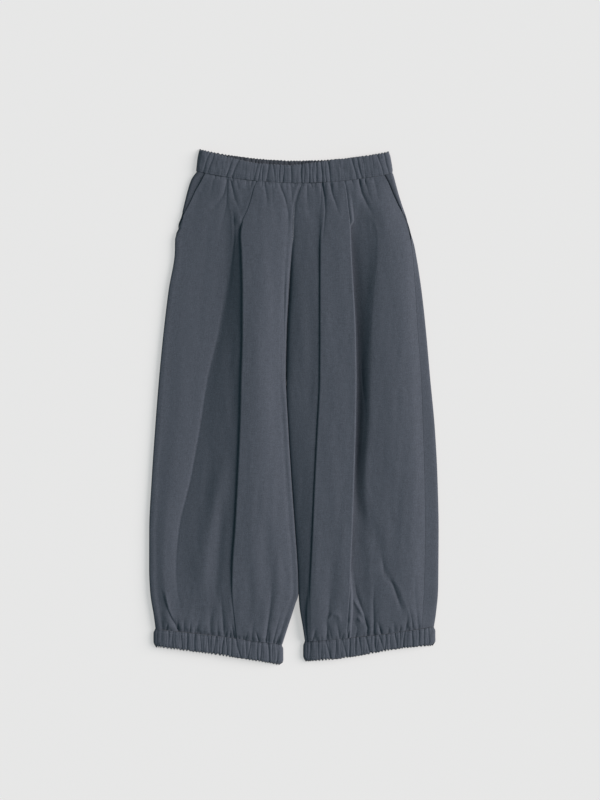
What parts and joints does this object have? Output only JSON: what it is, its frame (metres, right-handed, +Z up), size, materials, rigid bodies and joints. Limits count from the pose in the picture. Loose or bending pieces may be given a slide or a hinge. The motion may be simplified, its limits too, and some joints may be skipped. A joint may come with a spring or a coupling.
{
  "type": "cropped balloon trousers",
  "caption": "Cropped balloon trousers laid flat, with an elastic gathered waist, a long pleat down each wide leg, slanted side pockets and elastic gathered cuffs.",
  "frame": {"origin": "centre of the laid-out garment's bounding box, on the surface that it lies on", "axes": "+Y up the garment to the waist, +X to the right as seen from above, +Z up off the surface"},
  "size_m": [0.4775, 0.8477, 0.0243],
  "materials": {
    "garment_cloth": "matte woven cotton, dark slate grey",
    "facing_cloth": "matte woven cotton, dark slate grey, in shade"
  },
  "bodies": {
    "root": {"front_left": "garment_cloth", "front_right": "garment_cloth", "back_left": "garment_cloth", "back_right": "garment_cloth", "waistband_front": "garment_cloth", "waistband_back": "garment_cloth", "cuff_left_front": "garment_cloth", "cuff_left_back": "garment_cloth", "cuff_right_front": "garment_cloth", "cuff_right_back": "garment_cloth", "pocket_facing_left": "facing_cloth", "pocket_facing_right": "facing_cloth"}
  },
  "joints": []
}
